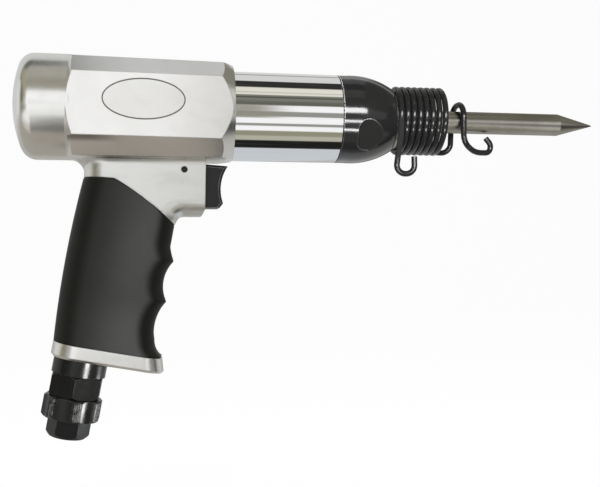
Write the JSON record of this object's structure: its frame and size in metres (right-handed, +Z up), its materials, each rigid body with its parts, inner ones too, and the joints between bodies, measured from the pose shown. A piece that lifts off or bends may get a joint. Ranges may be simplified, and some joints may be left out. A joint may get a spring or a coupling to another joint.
{
  "type": "pneumatic rivet gun",
  "caption": "Pistol-grip air hammer for riveting: faceted cast housing, chromed barrel sleeve, coiled wire retainer, pointed punch, finger-grooved grip and swivel air regulator.",
  "frame": {"origin": "the middle of the grip, where the hand closes round it, on the gun's middle plane", "axes": "+X along the barrel towards the muzzle, +Z up and square to the barrel, +Y to the gun's left"},
  "size_m": [0.3077, 0.0522, 0.1913],
  "materials": {
    "housing": "bead-blasted castings, brushed flats, satin rear end",
    "steel": "ground and oiled",
    "chrome": "polished plating",
    "black_paint": "gloss black",
    "spring_black": "black coated wire",
    "spring_steel": "bare wire",
    "black_plastic": "moulded, fine texture",
    "grip_rubber": "moulded, matt",
    "seal_rubber": "smooth",
    "bronze": "sintered, porous",
    "brass": "turned",
    "oxide_steel": "black oxide, lightly oiled"
  },
  "bodies": {
    "gun": {"housing": "housing", "barrel": "steel", "chrome_sleeve": "chrome", "nose_cap": "black_paint", "sleeve_seal": "seal_rubber", "rear_bumper": "seal_rubber", "valve_cap": "steel", "valve_seat": "steel", "valve_dowels": "steel", "trigger_pin": "steel", "throttle_bush": "brass", "throttle_washer": "seal_rubber", "stem_ring": "seal_rubber", "throttle_spring": "spring_steel", "grip_sleeve": "grip_rubber", "end_plate": "housing", "silencer": "bronze", "regulator_body": "oxide_steel", "ring_seals": "seal_rubber", "inlet_bushing": "oxide_steel", "inlet_screen": "spring_steel"},
    "trigger": {"trigger": "black_plastic"},
    "throttle": {"throttle_stem": "steel"},
    "hammer_piston": {"piston": "steel"},
    "valve_disc": {"valve_disc": "steel"},
    "punch": {"punch": "steel"},
    "regulator": {"regulator_ring": "oxide_steel", "regulator_pin": "steel", "regulator_spool": "brass"},
    "retainer": {"retainer_spring": "spring_black"}
  },
  "joints": [
    {"name": "trigger_pull", "type": "hinge", "parent": "gun", "child": "trigger", "pos_m": [0.0317, 0, 0.0414], "axis": [0, 1, 0], "range_deg": [0, 8], "stiffness_Nm_per_rad": 2, "springref_deg": -2.86},
    {"name": "throttle_slide", "type": "slide", "parent": "gun", "child": "throttle", "axis": [-1, 0, 0], "range_m": [0, 0.00155], "deforming": ["throttle_spring"]},
    {"name": "piston_stroke", "type": "slide", "parent": "gun", "child": "hammer_piston", "axis": [1, 0, 0], "range_m": [0, 0.078]},
    {"name": "disc_lift", "type": "slide", "parent": "gun", "child": "valve_disc", "axis": [1, 0, 0], "range_m": [0, 0.0009]},
    {"name": "punch_slide", "type": "slide", "parent": "gun", "child": "punch", "axis": [1, 0, 0], "range_m": [0, 0.012]},
    {"name": "regulator_turn", "type": "hinge", "parent": "gun", "child": "regulator", "pos_m": [-0.02336, 0, -0.07663], "axis": [0.1822, 0, 0.9833], "range_deg": [0, 90]},
    {"name": "retainer_turn", "type": "hinge", "parent": "gun", "child": "retainer", "pos_m": [0.1422, 0, 0.07], "axis": [1, 0, 0], "continuous": true}
  ],
  "couplings": [
    {"joint": "throttle_slide", "follows": "trigger_pull", "m_per_rad": 0.010865}
  ]
}
